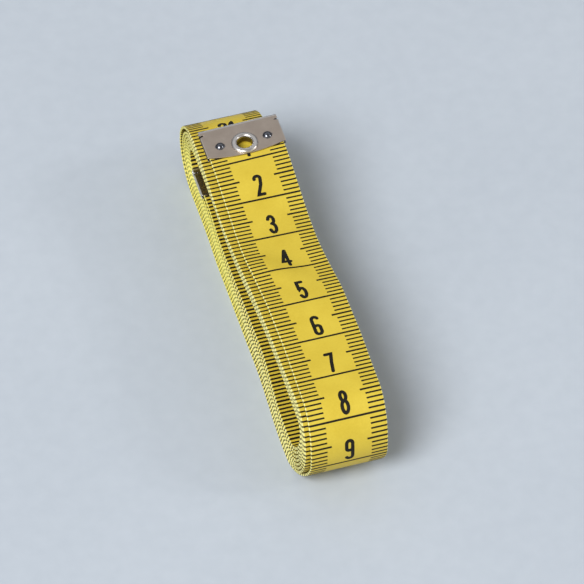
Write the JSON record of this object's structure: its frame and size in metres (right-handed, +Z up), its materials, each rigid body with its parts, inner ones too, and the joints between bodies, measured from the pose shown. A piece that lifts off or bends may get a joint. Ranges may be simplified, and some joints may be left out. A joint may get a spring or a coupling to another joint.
{
  "type": "cloth tape measure",
  "caption": "Tailor's tape measure wound into a flat hollow hank, with folded metal clips on both ends and an eyelet in the zero end; its free lead and inner tail lift.",
  "frame": {"origin": "middle of the footprint, on the surface that the hank lies on", "axes": "+Z up; +Y along the hank's length, towards the zero end; +X across the tape's width"},
  "size_m": [0.0192, 0.0932, 0.0207],
  "materials": {
    "tape": "coated woven glass fibre, satin, printed black scale",
    "clip": "tinned sheet, slightly dulled",
    "eyelet": "bright plated"
  },
  "bodies": {
    "hank": {"tape_winding": "tape"},
    "lead_1": {"tape_lead_1": "tape"},
    "lead_2": {"tape_lead_2": "tape"},
    "lead_3": {"tape_lead_3": "tape"},
    "lead_4": {"tape_lead_4": "tape", "zero_clip": "clip", "eyelet": "eyelet"},
    "tail": {"tape_tail": "tape", "inner_clip": "clip"}
  },
  "joints": [
    {"name": "lead_lift_1", "type": "hinge", "parent": "hank", "child": "lead_1", "pos_m": [0, -0.03502, 0.01903], "axis": [1, 0, 0], "range_deg": [0, 28]},
    {"name": "lead_lift_2", "type": "hinge", "parent": "lead_1", "child": "lead_2", "pos_m": [0, -0.01702, 0.01903], "axis": [1, 0, 0], "range_deg": [0, 28]},
    {"name": "lead_lift_3", "type": "hinge", "parent": "lead_2", "child": "lead_3", "pos_m": [0, 0.00098, 0.01774], "axis": [1, 0, 0], "range_deg": [0, 28]},
    {"name": "lead_lift_4", "type": "hinge", "parent": "lead_3", "child": "lead_4", "pos_m": [0, 0.01898, 0.01843], "axis": [1, 0, 0], "range_deg": [0, 28]},
    {"name": "tail_lift", "type": "hinge", "parent": "hank", "child": "tail", "pos_m": [0, 0.00898, 0.00571], "axis": [1, 0, 0], "range_deg": [0, 10]}
  ],
  "couplings": [
    {"joint": "lead_lift_2", "follows": "lead_lift_1", "ratio": 1},
    {"joint": "lead_lift_3", "follows": "lead_lift_1", "ratio": 1},
    {"joint": "lead_lift_4", "follows": "lead_lift_1", "ratio": 1}
  ]
}
